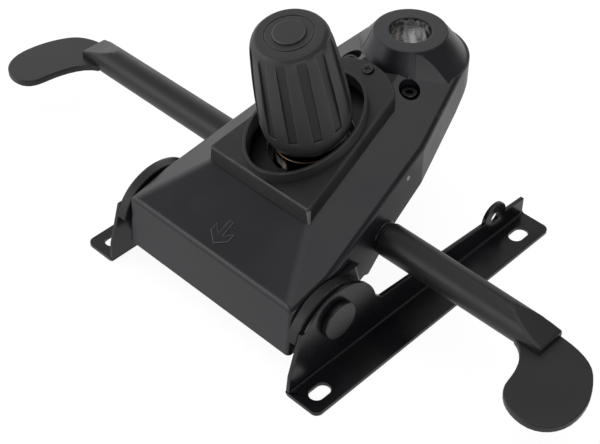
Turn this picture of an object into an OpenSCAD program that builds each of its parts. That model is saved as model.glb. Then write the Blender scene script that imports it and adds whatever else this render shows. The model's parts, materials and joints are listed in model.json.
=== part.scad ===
// Front-pivot tilt mechanism of an office chair, standing upside down on its two seat flanges.
// +Z points away from the seat, -Y to the front of the chair, and X across it.
// The origin is the mouth of the gas-lift socket. Lengths are millimetres, angles degrees.

/* [Overall] */
// Height of the gas-lift socket's mouth above the seat plane
socket_h = 130; // [126:1:136]
// Distance from the tilt axis back to the gas-lift axis
pivot_to_socket = 158; // [154:1:164]
// Height of the tilt axis above the seat plane
pivot_h = 39.5; // [38:0.5:42]
// Running clearance between a shaft and its hole, on the radius
run_gap = 0.05; // [0.02:0.01:0.1]
// Free gap between pieces that move past each other
free_gap = 0.4; // [0.3:0.1:0.8]

/* [Housing] */
// Half width of the housing at its front
housing_half_w = 74; // [71:0.5:78]
// Distance from the tilt axis forward to the housing's front face
housing_front = 27; // [24:1:32]
// Height of the front face's top edge above the seat plane
front_edge_h = 57.2; // [54:0.5:60]
// Height of the front face's lower edge above the seat plane
front_rim_h = 20; // [17:1:23]
// Lean of the front face towards the front, per unit of height downwards
front_rake = 0.1; // [0.05:0.01:0.14]
// Wall thickness of the casting
housing_wall = 4; // [3:0.5:5]
// Distance from the tilt axis back to where the sides begin to taper
taper_start = 3.7; // [2:0.1:6]
// Half width of the housing where its sides turn in towards the socket
waist_half_w = 57; // [55:0.5:59]
// Distance from the gas-lift axis forward to that waist
waist_front = 49.3; // [47:0.1:52]
// Radius of the rear end round the gas-lift axis
rear_r = 40; // [38.5:0.5:42]
// Distance from the knob cover forward to where the front slope meets the plateau
crest_ahead = 1.2; // [0.6:0.1:2]
// Rise of the plateau under the knob cover per unit of length
plateau_slope = 0.335; // [0.31:0.005:0.35]
// Height of the plateau at the cover's front edge above the seat plane
plateau_h = 77.9; // [76:0.1:80]
// Drop of the shoulders per unit of width
shoulder_drop = 0.418; // [0.4:0.002:0.43]
// Rise of the shoulders towards the rear per unit of length
shoulder_rise = 0.226; // [0.21:0.002:0.24]
// Depth of the shoulders' ridge line under the socket's mouth, at the gas-lift axis
shoulder_sink = 2.1; // [1:0.1:3]

/* [Gas-lift socket] */
// Radius of the socket's bore, for a standard 28 mm gas-lift taper
socket_r = 14; // [14:0.1:14.2]
// Length of the socket
socket_len = 46; // [42:1:50]
// Wall of the socket inside the housing
socket_wall = 6; // [5:0.5:6.5]
// Radius of the cone's flat top
cone_top_r = 24.8; // [23:0.2:26]
// Turn from the side towards the front at which the flare begins
flare_angle = 42; // [38:1:46]
// Fall of the flat rear top beside and behind the cone
rear_fall = 6; // [5:0.5:7]
// Radius of the cone's foot
cone_foot_r = 33; // [31:0.5:35]
// Height of the cone above its foot
cone_h = 20; // [19:0.5:22]
// Depth of the cone's foot in the flat rear top
cone_sink = 7.5; // [6.5:0.5:9]
// Half the distance between the two screw pockets in front of the cone
pocket_x = 25.6; // [24.5:0.1:27]
// Distance from the gas-lift axis forward to the pockets
pocket_y = 28.8; // [28:0.1:31]
// Radius of a screw pocket
pocket_r = 7; // [6.5:0.25:8]

/* [Seat brackets] */
// Gap between the housing's side and a bracket's inner face
side_gap = 7.6; // [6.6:0.2:10]
// Thickness of the bracket steel
steel_t = 3; // [2.5:0.25:3.5]
// Width of a flange, from the bracket's inner face to its free edge
flange_w = 26.9; // [25:0.1:32]
// Length of a bracket
bracket_len = 230.7; // [226:0.1:240]
// Distance from the tilt axis forward to the bracket's front edge
bracket_front = 41.3; // [39:0.1:45]
// Distance from the rear slot's centre to the bracket's rear edge
slot_tail = 19.7; // [18:0.1:22]
// Distance from the bracket's front edge to its first slot's centre
slot_inset = 15; // [13:0.5:17]
// Distance from the bracket's inner face to the slots' centre line
slot_out = 14.9; // [13:0.1:16]
// Width of a slot
slot_w = 10; // [8.5:0.1:10.5]
// End-to-end length of a slot
slot_len = 15.5; // [13:0.5:17]
// Radius of the big lobe round the tilt axis
lobe_r = 35; // [33:0.5:37]
// Distance from the tilt axis down to the lobe's centre
lobe_drop = 14.5; // [13:0.5:16]
// Height of the rail behind the lobe
rail_h = 27; // [25:0.5:29]
// Height of the rail at its rear end
rail_rear_h = 15.7; // [14:0.1:18]
// Radius of the small rear lobe
tab_r = 11.5; // [10:0.5:13]
// Radius of the hole in the small rear lobe
tab_hole_r = 4; // [3:0.25:5]

/* [Tilt axle] */
// Radius of the axle
axle_r = 9; // [8:0.25:10]
// Radius of the axle's flat heads
cap_r = 13.2; // [12.5:0.1:14.5]
// Thickness of the axle's heads
cap_t = 4.5; // [3.5:0.25:6]
// Wall of the axle's plastic bushes
bush_wall = 3; // [2.5:0.25:3.5]
// Radius of the spacer discs between bracket and housing
spacer_r = 32.5; // [30:0.5:33.5]

/* [Knob cover] */
// Half width of the cover at its front edge
cover_half_w = 44.2; // [43:0.2:46]
// Height of the cover's front wall
cover_front_h = 11.7; // [10.5:0.1:13]
// Taper of the cover's sides per unit of length
cover_taper = 0.16; // [0.15:0.005:0.18]
// Rise of the cover's top per unit of length
cover_slope = 0.3; // [0.28:0.005:0.31]
// Radius of the cover's rounded rear end
cover_rear_r = 42; // [41:0.5:44]
// Wall thickness of the cover
cover_wall = 2.5; // [2:0.25:3]
// Half width of the oval opening
opening_half_w = 31.8; // [31.2:0.1:33]
// Half length of the oval opening
opening_half_len = 43.5; // [42:0.5:44]
// Thickness of the oval ring's wall
ring_t = 2.2; // [1.8:0.2:2.4]
// Height of the oval ring above the cover's top
ring_h = 8.6; // [7:0.2:10]

/* [Tension knob] */
// Lean of the knob's axis towards the front
knob_lean = 11.9; // [10:0.1:13]
// Height of the knob axis's reference point above the seat plane
knob_ref_h = 100; // [98:1:102]
// Distance of that point in front of the gas-lift axis
knob_ref_y = 94.6; // [93:0.1:96]
// Greatest radius of the knob
knob_r = 29.4; // [28:0.1:30]
// Radius of the knob at its shoulder
knob_top_r = 25.5; // [24.5:0.1:26.5]
// Height of the knob from its base to its flat end
knob_h = 80.5; // [78:0.5:86]
// Number of flutes round the knob
flute_count = 12; // [9:1:14]
// Width of a flute
flute_w = 6; // [5:0.2:8]
// Depth of a flute
flute_depth = 1.1; // [0.8:0.1:1.8]
// Height of the flutes' lower ends above the knob's base
flute_lift = 15; // [13:0.5:17]
// Radius of the round plug in the knob's end
knob_cap_r = 10.3; // [9:0.1:12]
// Radius of the tension bolt
bolt_r = 5; // [4.5:0.25:5]

/* [Tilt spring] */
// Mean radius of the spring's coils
spring_r = 19; // [18:0.25:20]
// Radius of the spring wire
wire_r = 2.5; // [2:0.1:2.7]
// Number of coils
spring_turns = 3.6; // [3:0.1:4.5]
// Free space between rocker pad and cup, along the knob axis
spring_space = 43; // [41:0.5:45]
// Outer radius of the cup that holds the spring's end
cup_r = 24.8; // [24.2:0.1:25.2]
// Depth of the cup's skirt
cup_depth = 10; // [8:0.5:11]

/* [Levers] */
// Distance from the gas-lift axis forward to the levers' axis
lever_y = 92.7; // [91.5:0.1:93.5]
// Height of the levers' axis above the seat plane
lever_h = 50; // [49.4:0.1:51]
// Radius of a lever rod
rod_r = 6; // [5.5:0.1:6.2]
// Radius of a handle's tube at its root
handle_r = 11.5; // [10.5:0.1:12]
// Radius of a handle's tube at its step
handle_tip_r = 11.1; // [10.2:0.1:11.8]
// Distance from the middle plane to the right handle's step
right_reach = 195.3; // [185:0.5:205]
// Distance from the middle plane to the left handle's step
left_reach = 224; // [214:0.5:234]
// Length of the right paddle beyond its step
right_paddle_out = 43; // [38:0.5:48]
// Length of the left paddle beyond its step
left_paddle_out = 36; // [35:0.5:48]
// Distance from the lever axis to the right paddle's front edge
right_paddle_ahead = 56.5; // [52:0.5:62]
// Distance from the lever axis to the left paddle's front edge
left_paddle_ahead = 62.5; // [52:0.5:64]
// Length of the flat ramp in front of the step
ramp_len = 26; // [22:1:32]
// Height of the step above the lever axis
step_h = 3.4; // [2.5:0.1:4.5]
// Thickness of a paddle
paddle_t = 5; // [4:0.25:6]

/* [Hidden] */
$fn = 72;

// Places along the chair, measured from the gas-lift axis
pivot_y = -pivot_to_socket;
front_y = pivot_y - housing_front;
bracket_y = pivot_y - bracket_front;
bracket_half = housing_half_w + side_gap;
slot_pitch = bracket_len - slot_inset - slot_tail;
cover_y = -140.6;
far = 400;

// Housing: angles of its two side lines in plan, each with its distance from the gas-lift axis
taper_y = pivot_y + taper_start;
taper_angle = atan((housing_half_w - waist_half_w) / (-waist_front - taper_y));
taper_d = housing_half_w * cos(taper_angle) + taper_y * sin(taper_angle);
waist_angle = acos(rear_r / norm([waist_half_w, waist_front])) - atan2(waist_front, waist_half_w);

// Where two lines meet that are given by the angles of their normals and their distances
function meet(a1, d1, a2, d2) = [d1 * sin(a2) - d2 * sin(a1), d2 * cos(a1) - d1 * cos(a2)] / sin(a2 - a1);

// Housing: heights of its tops along the middle plane
plateau_end_h = socket_h - cone_h + cone_sink;
shoulder_h = socket_h - shoulder_sink;
function plateau_z(y) = plateau_h + plateau_slope * (y - cover_y);
function shoulder_z(x, y) = shoulder_h + shoulder_rise * y - shoulder_drop * abs(x);
front_slope = (plateau_z(cover_y - crest_ahead) - front_edge_h) / (cover_y - crest_ahead - front_y);
function top_z(x, y) = min(plateau_z(y), plateau_end_h, shoulder_z(x, y));
function slant(m) = sqrt(1 + m * m);

// Knob axis: station 0 is its reference point, and stations grow outwards along it
lean_sin = sin(knob_lean);
lean_cos = cos(knob_lean);
function axis_y(s) = -knob_ref_y - s * lean_sin;
function axis_z(s) = knob_ref_h + s * lean_cos;
cup_top = -2.5;
cup_t = 2.5;
washer_t = 2;
washer_r = 14;
nut_flange_t = 3;
nut_flange_r = 13;
nut_len = 14;
nut_flats = 17;
knob_base = 5;
knob_end = knob_base + knob_h;
pad_t = 6;
seat_t = 2;
pad_top = cup_top - cup_t - spring_space;
trunnion_r = 7;
trunnion_s = pad_top - pad_t - trunnion_r - 3;
trunnion_flat = 5;
bolt_head_h = 6.5;
bolt_head_r = 9.8;
bolt_end = 58;

// Housing: lower rim behind the front box, with its rises over the front rim
rim_hook_back = 44;
rim_hook_rise = 12;
rim_step_back = 49;
rim_step_rise = 9.5;
rim_waist_back = 1.8;
rim_waist_rise = 44;
// Housing: lower rim round a lever's boss, measured from the levers' axis
rim_lever_ahead = 4.8;
rim_lever_skin = 2;
rim_lever_back = 14.2;
// Housing: lower rim at the rear, with its drops under the socket's mouth
rim_socket_back = 2;
rim_socket_drop = 46.5;
rim_heel_back = 16;
rim_heel_drop = 38;
rim_end_back = 60;
rim_end_drop = 22;

// Axle bosses in the housing's sides
axle_boss_len = 16;
axle_boss_x = housing_half_w - axle_boss_len;

// Levers and what they drive
wall_x = (taper_d + lever_y * sin(taper_angle)) / cos(taper_angle);
lever_boss_r = 11;
lever_inner_x = wall_x - housing_wall - 8;
lever_boss_x = wall_x + 2;
lever_bush_wall = 2;
collar_t = 1.5;
handle_x = lever_boss_x + collar_t + 0.3;
lug_in = 26;
lug_out = 34;
journal_r = 4;
rod_depth = 80;
cam_hub_r = 9;
cam_x0 = 38;
cam_x1 = 44;
cross_pin_r = 1.5;
circlip_t = 1.2;

// Lock: a comb on the axle and a latch that a crank on the left rod slides into its notches
lever_dy = pivot_to_socket - lever_y;
lever_dz = lever_h - pivot_h;
lever_dist = norm([lever_dy, lever_dz]);
lever_angle = atan2(lever_dz, lever_dy);
tilt_range = 10;
lock_swing = 30;
crank_pin_reach = 9.7;
latch_travel = 2 * crank_pin_reach * sin(lock_swing / 2);
latch_x0 = 41;
latch_x1 = 46;
lock_cam_x0 = 36;
lock_cam_x1 = latch_x0 - free_gap;
tooth_w = 3.6;
tooth_reach = 14;
notch_w = tooth_w + 2 * free_gap;
comb_r = lever_dist - tooth_reach - 1;
notch_floor_r = lever_dist - tooth_reach - latch_travel - 0.5;

// Release: a shaft with a finger and a tongue in the release bracket's cheeks
crank_y = -50;
crank_drop = 8;
crank_z = socket_h - socket_len - crank_drop;
crank_r = 6;
crank_pin_r = 3;
cheek_x = 30;
cheek_t = 3;
plate_ahead = 9;
plate_t = 3;
plate_len = 16;
release_plate_drop = 7.56;
release_plate_z = top_z(cheek_x + cheek_t, -pocket_y - plate_ahead) - release_plate_drop;
cheek_eye_r = 7;
pocket_floor = 6;
socket_bolt_r = 3;
socket_bolt_head_r = 5;
socket_bolt_head_h = 5;
tongue_half = 8;
tongue_end = 4;
tongue_root_up = 5;
tongue_root_down = 5.5;
tongue_tip_top = 3;
tongue_tip_t = 4;
cam_len = 16;
cam_t = 5;
push_gap = 0.3;

// Pieces that are drawn from the seat plane up move to the socket's mouth
module seat_frame() {
    translate([0, 0, -socket_h]) children();
}

// Knob-axis frame: its local z runs outwards along the knob's axis
module knob_axis() {
    seat_frame() translate([0, -knob_ref_y, knob_ref_h]) rotate([knob_lean, 0, 0]) children();
}

// A round bar along X
module bar_x(x0, x1, y, z, r) {
    translate([min(x0, x1), y, z]) rotate([0, 90, 0]) cylinder(r = r, h = abs(x1 - x0));
}

// An outline drawn in the YZ plane, made into a plate between two X places
module plate_x(x0, x1) {
    translate([min(x0, x1), 0, 0]) rotate([90, 0, 90]) linear_extrude(abs(x1 - x0)) children();
}

// A washer or short tube along local z
module tube(z0, z1, outer, inner) {
    translate([0, 0, z0]) difference() {
        cylinder(r = outer, h = z1 - z0);
        translate([0, 0, -1]) cylinder(r = inner, h = z1 - z0 + 2);
    }
}

// One side of the mechanism: 1 is the right side, -1 the left
module on_side(side) {
    mirror([side < 0 ? 1 : 0, 0, 0]) children();
}

// Point at t on a cubic curve with four control points, and a chain of such curves
function curve_at(c, t) = pow(1 - t, 3) * c[0] + 3 * pow(1 - t, 2) * t * c[1]
    + 3 * (1 - t) * t * t * c[2] + pow(t, 3) * c[3];
function curve_chain(curves, steps) = [for (c = curves, i = [0 : steps - 1]) curve_at(c, i / steps)];

// Coil spring along local z as one unbroken tube of six sides, eight rings to a turn
function coil_point(i, r, len, wire, turns) = let (a = i * 45, z = wire + (len - 2 * wire) * i / (8 * turns))
    [r * cos(a), r * sin(a), z];
function coil_gap(r, len, wire, turns) = let (n = floor(8 * turns))
    min([for (i = [0 : n], j = [i + 5 : n]) if (j <= n)
        norm(coil_point(i, r, len, wire, turns) - coil_point(j, r, len, wire, turns)) - 2 * wire]);
module coil(r, len, wire, turns) {
    n = floor(8 * turns);
    points = [for (i = [0 : n], k = [0 : 5]) let (a = i * 45, w = k * 60)
        coil_point(i, r, len, wire, turns)
        + [wire * cos(w) * cos(a), wire * cos(w) * sin(a), wire * sin(w)]];
    sides = [for (i = [0 : n - 1], k = [0 : 5], half = [0, 1]) let (m = (k + 1) % 6)
        half == 0 ? [i * 6 + k, i * 6 + m, i * 6 + 6 + m] : [i * 6 + k, i * 6 + 6 + m, i * 6 + 6 + k]];
    first_end = [for (k = [1 : 4]) [0, k + 1, k]];
    last_end = [for (k = [1 : 4]) [n * 6, n * 6 + k, n * 6 + k + 1]];
    polyhedron(points, concat(sides, first_end, last_end));
}

// Housing
// Plan outline: straight front box, tapering sides and a round rear end
module housing_plan(inset) {
    w = housing_half_w - inset;
    r = rear_r - inset;
    bend = meet(0, w, taper_angle, taper_d - inset);
    waist = meet(taper_angle, taper_d - inset, waist_angle, r);
    touch = [r * cos(waist_angle), r * sin(waist_angle)];
    polygon([[-w, front_y - 20], [w, front_y - 20], bend, waist, touch,
        [-touch[0], touch[1]], [-waist[0], waist[1]], [-w, bend[1]]]);
    circle(r = r);
}

// Hipped top: front slope, plateau and flat rear along the middle, shoulders to both sides
module housing_top(inset) {
    front_lift = front_edge_h - inset * slant(front_slope);
    plateau_lift = plateau_h - inset * slant(plateau_slope);
    crest_y = (plateau_lift - front_lift + front_slope * front_y - plateau_slope * cover_y)
        / (front_slope - plateau_slope);
    flat_y = cover_y + (plateau_end_h - inset - plateau_lift) / plateau_slope;
    back_y = rear_r + 1;
    face_y = front_y + inset * slant(front_rake);
    brow_y = (face_y - front_rake * (front_edge_h - front_lift + front_slope * front_y))
        / (1 - front_rake * front_slope);
    plate_x(-far, far) polygon([[face_y - front_rake * front_edge_h, 0],
        [brow_y, front_lift + front_slope * (brow_y - front_y)],
        [crest_y, front_lift + front_slope * (crest_y - front_y)], [flat_y, plateau_end_h - inset],
        [back_y, plateau_end_h - inset], [back_y, 0]]);
}

module housing_shoulders(inset) {
    rise = atan(shoulder_rise);
    drop = shoulder_drop * cos(rise);
    lift = -inset * slant(drop);
    translate([0, 0, shoulder_h]) rotate([rise, 0, 0]) rotate([90, 0, 0])
        linear_extrude(2 * far, center = true)
            polygon([[-far, lift - drop * far], [0, lift], [far, lift - drop * far],
                [far, -far], [-far, -far]]);
}

module housing_block(inset) {
    intersection() {
        linear_extrude(socket_h) housing_plan(inset);
        housing_top(inset);
        housing_shoulders(inset);
    }
}

// The same block with its rear top falling away beside and behind the cone
module housing_form(inset) {
    rear_lift = plateau_end_h - inset;
    fall_y = cone_top_r * 0.75;
    difference() {
        housing_block(inset);
        plate_x(-far, far) polygon([[-fall_y, rear_lift], [0, rear_lift - rear_fall],
            [rear_r + 2, rear_lift - rear_fall], [rear_r + 2, rear_lift + 1], [-fall_y, rear_lift + 1]]);
    }
}

// Everything below the open lower rim, which climbs towards the rear
module housing_below_rim() {
    plate_x(-far, far) polygon([[front_y - 15, -5], [front_y - 15, front_rim_h], [front_y + 5, front_rim_h],
        [pivot_y + rim_hook_back, front_rim_h + rim_hook_rise],
        [pivot_y + rim_step_back, front_rim_h + rim_step_rise],
        [-lever_y - rim_lever_ahead, lever_h - lever_boss_r - rim_lever_skin],
        [-lever_y + rim_lever_back, lever_h + rim_lever_skin],
        [-waist_front + rim_waist_back, front_rim_h + rim_waist_rise],
        [rim_socket_back, socket_h - rim_socket_drop], [rim_heel_back, socket_h - rim_heel_drop],
        [rim_end_back, socket_h - rim_end_drop], [rim_end_back, -5]]);
}

// One ear inside the tub: it carries the trunnion pin and the inner end of a lever rod
module housing_ear() {
    plate_x(lug_in, lug_out) difference() {
        union() {
            translate([axis_y(trunnion_s), axis_z(trunnion_s)]) circle(r = trunnion_r + 5);
            translate([-lever_y, lever_h]) circle(r = journal_r + 5);
            polygon([[-lever_y - 9, lever_h], [-lever_y - 9, plateau_z(-lever_y - 9) - 2],
                [-68.5, plateau_z(-68.5) - 2], [-68.5, axis_z(trunnion_s)]]);
        }
        translate([axis_y(trunnion_s), axis_z(trunnion_s)]) circle(r = trunnion_r);
        translate([-lever_y, lever_h]) circle(r = journal_r + run_gap);
    }
}

// Hollow lug that carries the straight side wall on past the taper, beside the spacer disc
module side_lug() {
    lug_h = 57;
    lug_rear = taper_y + 26;
    lug_foot = taper_y + 31.5;
    lug_wall = 2;
    recess = 8;
    difference() {
        intersection() {
            linear_extrude(lug_h) polygon([[housing_half_w, taper_y], [housing_half_w, lug_foot],
                [waist_half_w + 7, lug_foot], [housing_half_w - lug_wall, taper_y]]);
            plate_x(0, far) polygon([[taper_y, 0], [lug_foot, 0], [lug_foot, 36], [lug_rear, lug_h],
                [taper_y, lug_h]]);
        }
        translate([0, 0, lug_h - recess]) linear_extrude(far)
            polygon([[housing_half_w - lug_wall, taper_y + 11],
                [housing_half_w - lug_wall, lug_rear - lug_wall],
                [housing_half_w - lug_wall - 3, lug_rear - lug_wall]]);
        housing_below_rim();
        housing_form(housing_wall);
    }
}

// Raised arrow on the front slope that points to the front of the chair
module front_arrow() {
    arrow_h = 0.7;
    tip_y = 6;
    barb_x = 8;
    barb_y = tip_y + 6;
    barb_end_y = barb_y + 6;
    neck_y = tip_y + 7.2;
    stroke_half = 2;
    tail_y = tip_y + 18;
    half = [[0, tip_y], [barb_x, barb_y], [barb_x, barb_end_y], [stroke_half, neck_y],
        [stroke_half, tail_y]];
    translate([0, front_y, front_edge_h]) rotate([atan(front_slope), 0, 0]) translate([0, 0, -1])
        linear_extrude(1 + arrow_h) for (side = [-1, 1])
            polygon(concat([for (point = half) [side * point[0], point[1]]], [[0, tail_y]]));
}

// Cone round the socket: steep at its front, and flared behind to meet the rear wall
module socket_cone() {
    foot_z = socket_h - cone_h;
    skin = 0.3;
    translate([0, 0, foot_z]) cylinder(r1 = cone_foot_r, r2 = cone_top_r, h = cone_h);
    intersection() {
        translate([0, 0, foot_z]) cylinder(r1 = rear_r - skin, r2 = cone_top_r - skin, h = cone_h);
        plate_x(-far, far) polygon([[-sin(flare_angle) * cone_foot_r, foot_z],
            [-sin(flare_angle) * cone_top_r, socket_h], [far, socket_h], [far, foot_z]]);
        flare_side(1, foot_z, skin);
        flare_side(-1, foot_z, skin);
    }
}

// Everything within the plane that touches the steep cone where the flare begins on that side
module flare_side(side, foot_z, skin) {
    on_side(side) rotate([0, 0, -flare_angle]) rotate([90, 0, 0]) linear_extrude(2 * far, center = true)
        polygon([[-far, foot_z], [cone_foot_r + skin, foot_z], [cone_top_r + skin, socket_h],
            [-far, socket_h]]);
}

module housing() {
    bush_r = axle_r + run_gap + bush_wall;
    boss_r = bush_r + 5;
    color("#25262a") seat_frame() difference() {
        union() {
            difference() {
                housing_form(0);
                housing_form(housing_wall);
                housing_below_rim();
            }
            intersection() {
                housing_form(housing_wall / 2);
                union() {
                    for (side = [-1, 1]) {
                        on_side(side) housing_ear();
                        bar_x(side * axle_boss_x, side * far, pivot_y, pivot_h, boss_r);
                        translate([side * pocket_x, -pocket_y, release_plate_z])
                            cylinder(r = pocket_r + 2.5, h = far);
                    }
                    translate([0, 0, socket_h - socket_len]) cylinder(r = socket_r + socket_wall, h = far);
                }
            }
            for (side = [-1, 1]) {
                bar_x(side * lever_inner_x, side * lever_boss_x, -lever_y, lever_h, lever_boss_r);
                on_side(side) side_lug();
            }
            socket_cone();
            front_arrow();
        }
        for (side = [-1, 1]) {
            bar_x(side * (axle_boss_x - 1), side * far, pivot_y, pivot_h, bush_r);
            bar_x(side * (lug_out + 2), side * far, -lever_y, lever_h, rod_r + run_gap + lever_bush_wall);
            translate([side * pocket_x, -pocket_y, release_plate_z + pocket_floor])
                cylinder(r = pocket_r, h = far);
            translate([side * pocket_x, -pocket_y, release_plate_z - plate_t])
                cylinder(r = socket_bolt_r + 0.2, h = far);
        }
        translate([0, 0, socket_h - socket_len - 5]) cylinder(r = socket_r, h = far);
        translate([0, -knob_ref_y, knob_ref_h]) rotate([knob_lean, 0, 0])
            translate([0, 0, -26]) cylinder(r = cup_r + 4, h = 60);
        cover_screw_axis() translate([0, 0, -screw_boss_h]) cylinder(r = screw_r, h = 2 * screw_boss_h);
    }
}

// Two socket screws in the pockets, which hold the release bracket under the housing's top
module socket_bolts() {
    color("#1c1c1f") seat_frame() for (side = [-1, 1])
        translate([side * pocket_x, -pocket_y, release_plate_z + pocket_floor]) difference() {
            shank = pocket_floor + plate_t + 0.5;
            union() {
                cylinder(r = socket_bolt_head_r, h = socket_bolt_head_h);
                translate([0, 0, -shank]) cylinder(r = socket_bolt_r, h = shank);
            }
            translate([0, 0, 0.4 * socket_bolt_head_h])
                cylinder(r = 0.58 * socket_bolt_head_r, h = socket_bolt_head_h, $fn = 6);
        }
}

// Release bracket: a stamped plate with two cheeks that carry the release pin
module release_bracket() {
    color("#77797d") seat_frame() difference() {
        union() {
            translate([-cheek_x - cheek_t, -pocket_y - plate_ahead, release_plate_z - plate_t])
                cube([2 * (cheek_x + cheek_t), plate_len, plate_t]);
            for (side = [-1, 1]) plate_x(side * cheek_x, side * (cheek_x + cheek_t)) {
                translate([crank_y, crank_z]) circle(r = cheek_eye_r);
                polygon([[crank_y - 6, crank_z + 3], [-pocket_y - plate_ahead, release_plate_z],
                    [-pocket_y + 2, release_plate_z], [crank_y + 5, crank_z - 5]]);
            }
        }
        bar_x(-far, far, crank_y, crank_z, crank_pin_r + run_gap);
        for (side = [-1, 1])
            translate([side * pocket_x, -pocket_y, release_plate_z - 2 * plate_t])
                cylinder(r = socket_bolt_r, h = 3 * plate_t);
    }
}

// Knob cover
// Distance from its front edge to the centre of its rear round, and its oval opening's centre
cover_len = 63.8;
opening_y = -96.3;
opening_cut = 20;

// Plan outline of the cover, drawn inset by a wall where wanted
module cover_plan(inset) {
    rear_c = cover_y + cover_len;
    half = cover_half_w - inset;
    rear_half = half - cover_taper * (rear_c - cover_y);
    polygon([[-half, cover_y + inset], [half, cover_y + inset], [rear_half, rear_c], [-rear_half, rear_c]]);
    intersection() {
        translate([0, rear_c]) circle(r = cover_rear_r - inset);
        polygon([[-rear_half, rear_c - 1], [rear_half, rear_c - 1],
            [rear_half - cover_taper * 60, rear_c + 60], [-rear_half + cover_taper * 60, rear_c + 60]]);
    }
}

// Everything above the seat plane and under a plane that lies below the cover's top
module cover_under(below_top) {
    top = plateau_h + cover_front_h - below_top;
    y0 = cover_y - cover_half_w;
    y1 = cover_y + 3 * cover_half_w;
    plate_x(-far, far) polygon([[y0, 0], [y1, 0], [y1, top + cover_slope * (y1 - cover_y)],
        [y0, top + cover_slope * (y0 - cover_y)]]);
}

// The cover's block, drawn inset by a wall where wanted
module cover_block(inset) {
    intersection() {
        translate([0, 0, front_edge_h]) linear_extrude(socket_h) cover_plan(inset);
        cover_under(inset);
    }
}

// Frame of the cover's top face
module cover_top_frame(y) {
    translate([0, y, plateau_h + cover_front_h + cover_slope * (y - cover_y)])
        rotate([atan(cover_slope), 0, 0]) children();
}

module opening_oval(grow) {
    polygon([for (a = [0 : 6 : 354])
        [(opening_half_w + grow) * cos(a), (opening_half_len + grow) * sin(a)]]);
}

// Cover screw, square to the cover's top near its rear end
screw_y = -41;
screw_r = 1.6;
screw_head_r = 3.75;
screw_boss_h = 14;
screw_boss_wall = 2;
module cover_screw_axis() {
    cover_top_frame(screw_y) children();
}

module knob_cover() {
    color("#2b2b2d") seat_frame() difference() {
        union() {
            difference() {
                cover_block(0);
                cover_block(cover_wall);
            }
            cover_top_frame(opening_y) translate([0, 0, -cover_wall]) linear_extrude(ring_h + cover_wall)
                opening_oval(ring_t);
            intersection() {
                cover_screw_axis() translate([0, 0, -screw_boss_h])
                    cylinder(r = screw_r + screw_boss_wall, h = screw_boss_h);
                cover_block(0);
            }
        }
        housing_block(0);
        cover_top_frame(opening_y) translate([0, 0, -opening_cut])
            linear_extrude(3 * opening_cut) opening_oval(0);
        cover_screw_axis() translate([0, 0, -opening_cut]) cylinder(r = screw_r, h = 2 * opening_cut);
        cover_screw_axis() translate([0, 0, -1]) cylinder(r = screw_head_r, h = 5);
    }
}

module cover_screw() {
    color("#3a3a3d") seat_frame() cover_screw_axis() difference() {
        union() {
            translate([0, 0, -1]) cylinder(r = screw_head_r, h = 2.2);
            translate([0, 0, -13]) cylinder(r = screw_r, h = 12.5);
        }
        for (turn = [25, 115]) rotate([0, 0, turn]) translate([-2.2, -0.45, 0.2]) cube([4.4, 0.9, 2]);
    }
}

// Trunnion pin across the tub's ears, cross-drilled for the bolt, with a flat under its head
module trunnion_pin() {
    color("#8d8f93") knob_axis() difference() {
        bar_x(-lug_out, lug_out, 0, trunnion_s, trunnion_r);
        translate([0, 0, trunnion_s - 20]) cylinder(r = bolt_r, h = 40);
        translate([-12, -20, trunnion_s - trunnion_flat - 20]) cube([24, 40, 20]);
    }
}

// Tension bolt: hexagon head under the trunnion pin, thread end inside the knob
module tension_bolt() {
    head = trunnion_s - trunnion_flat;
    color("#a7a39a") knob_axis() {
        translate([0, 0, head - bolt_head_h]) cylinder(r = bolt_head_r, h = bolt_head_h, $fn = 6);
        translate([0, 0, head - 1]) cylinder(r = bolt_r, h = bolt_end - head + 1);
    }
}

// Plastic bearing of the axle in the housing
module axle_bush(side) {
    color("#3b3d3c") seat_frame() on_side(side) difference() {
        bar_x(axle_boss_x, housing_half_w, pivot_y, pivot_h, axle_r + run_gap + bush_wall);
        bar_x(0, far, pivot_y, pivot_h, axle_r + run_gap);
    }
}
module left_axle_bush() { axle_bush(-1); }
module right_axle_bush() { axle_bush(1); }

// Collar that a lever rod turns in
module lever_bush(side) {
    color("#161618") seat_frame() on_side(side) difference() {
        union() {
            bar_x(lever_inner_x, lever_boss_x, -lever_y, lever_h, rod_r + run_gap + lever_bush_wall);
            bar_x(lever_boss_x, lever_boss_x + collar_t, -lever_y, lever_h, lever_boss_r - 0.5);
        }
        bar_x(0, far, -lever_y, lever_h, rod_r + run_gap);
    }
}
module left_lever_bush() { lever_bush(-1); }
module right_lever_bush() { lever_bush(1); }

// Seat bracket
// Side outline: lobe round the tilt axis, rail to the rear, small rear lobe
module bracket_side() {
    rear = bracket_y + bracket_len;
    lobe_c = [pivot_y + 2.2, pivot_h - lobe_drop];
    rail_y = lobe_c[0] + lobe_r;
    tab_c = [bracket_y + slot_inset + slot_pitch - 12.5, 18.5];
    difference() {
        union() {
            intersection() {
                translate(lobe_c) circle(r = lobe_r);
                translate([bracket_y, 0]) square([bracket_len, 2 * lobe_r]);
            }
            polygon([[bracket_y, 0], [bracket_y + 2, 16], [bracket_y + 11.6, 45.5], [lobe_c[0], 45.5],
                [rail_y - 5, rail_h + 9], [rail_y + 5, rail_h], [rear, rail_rear_h], [rear, 0]]);
            translate(tab_c) circle(r = tab_r);
        }
        translate([pivot_y, pivot_h]) circle(r = axle_r);
        translate(tab_c) circle(r = tab_hole_r);
    }
}

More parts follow.
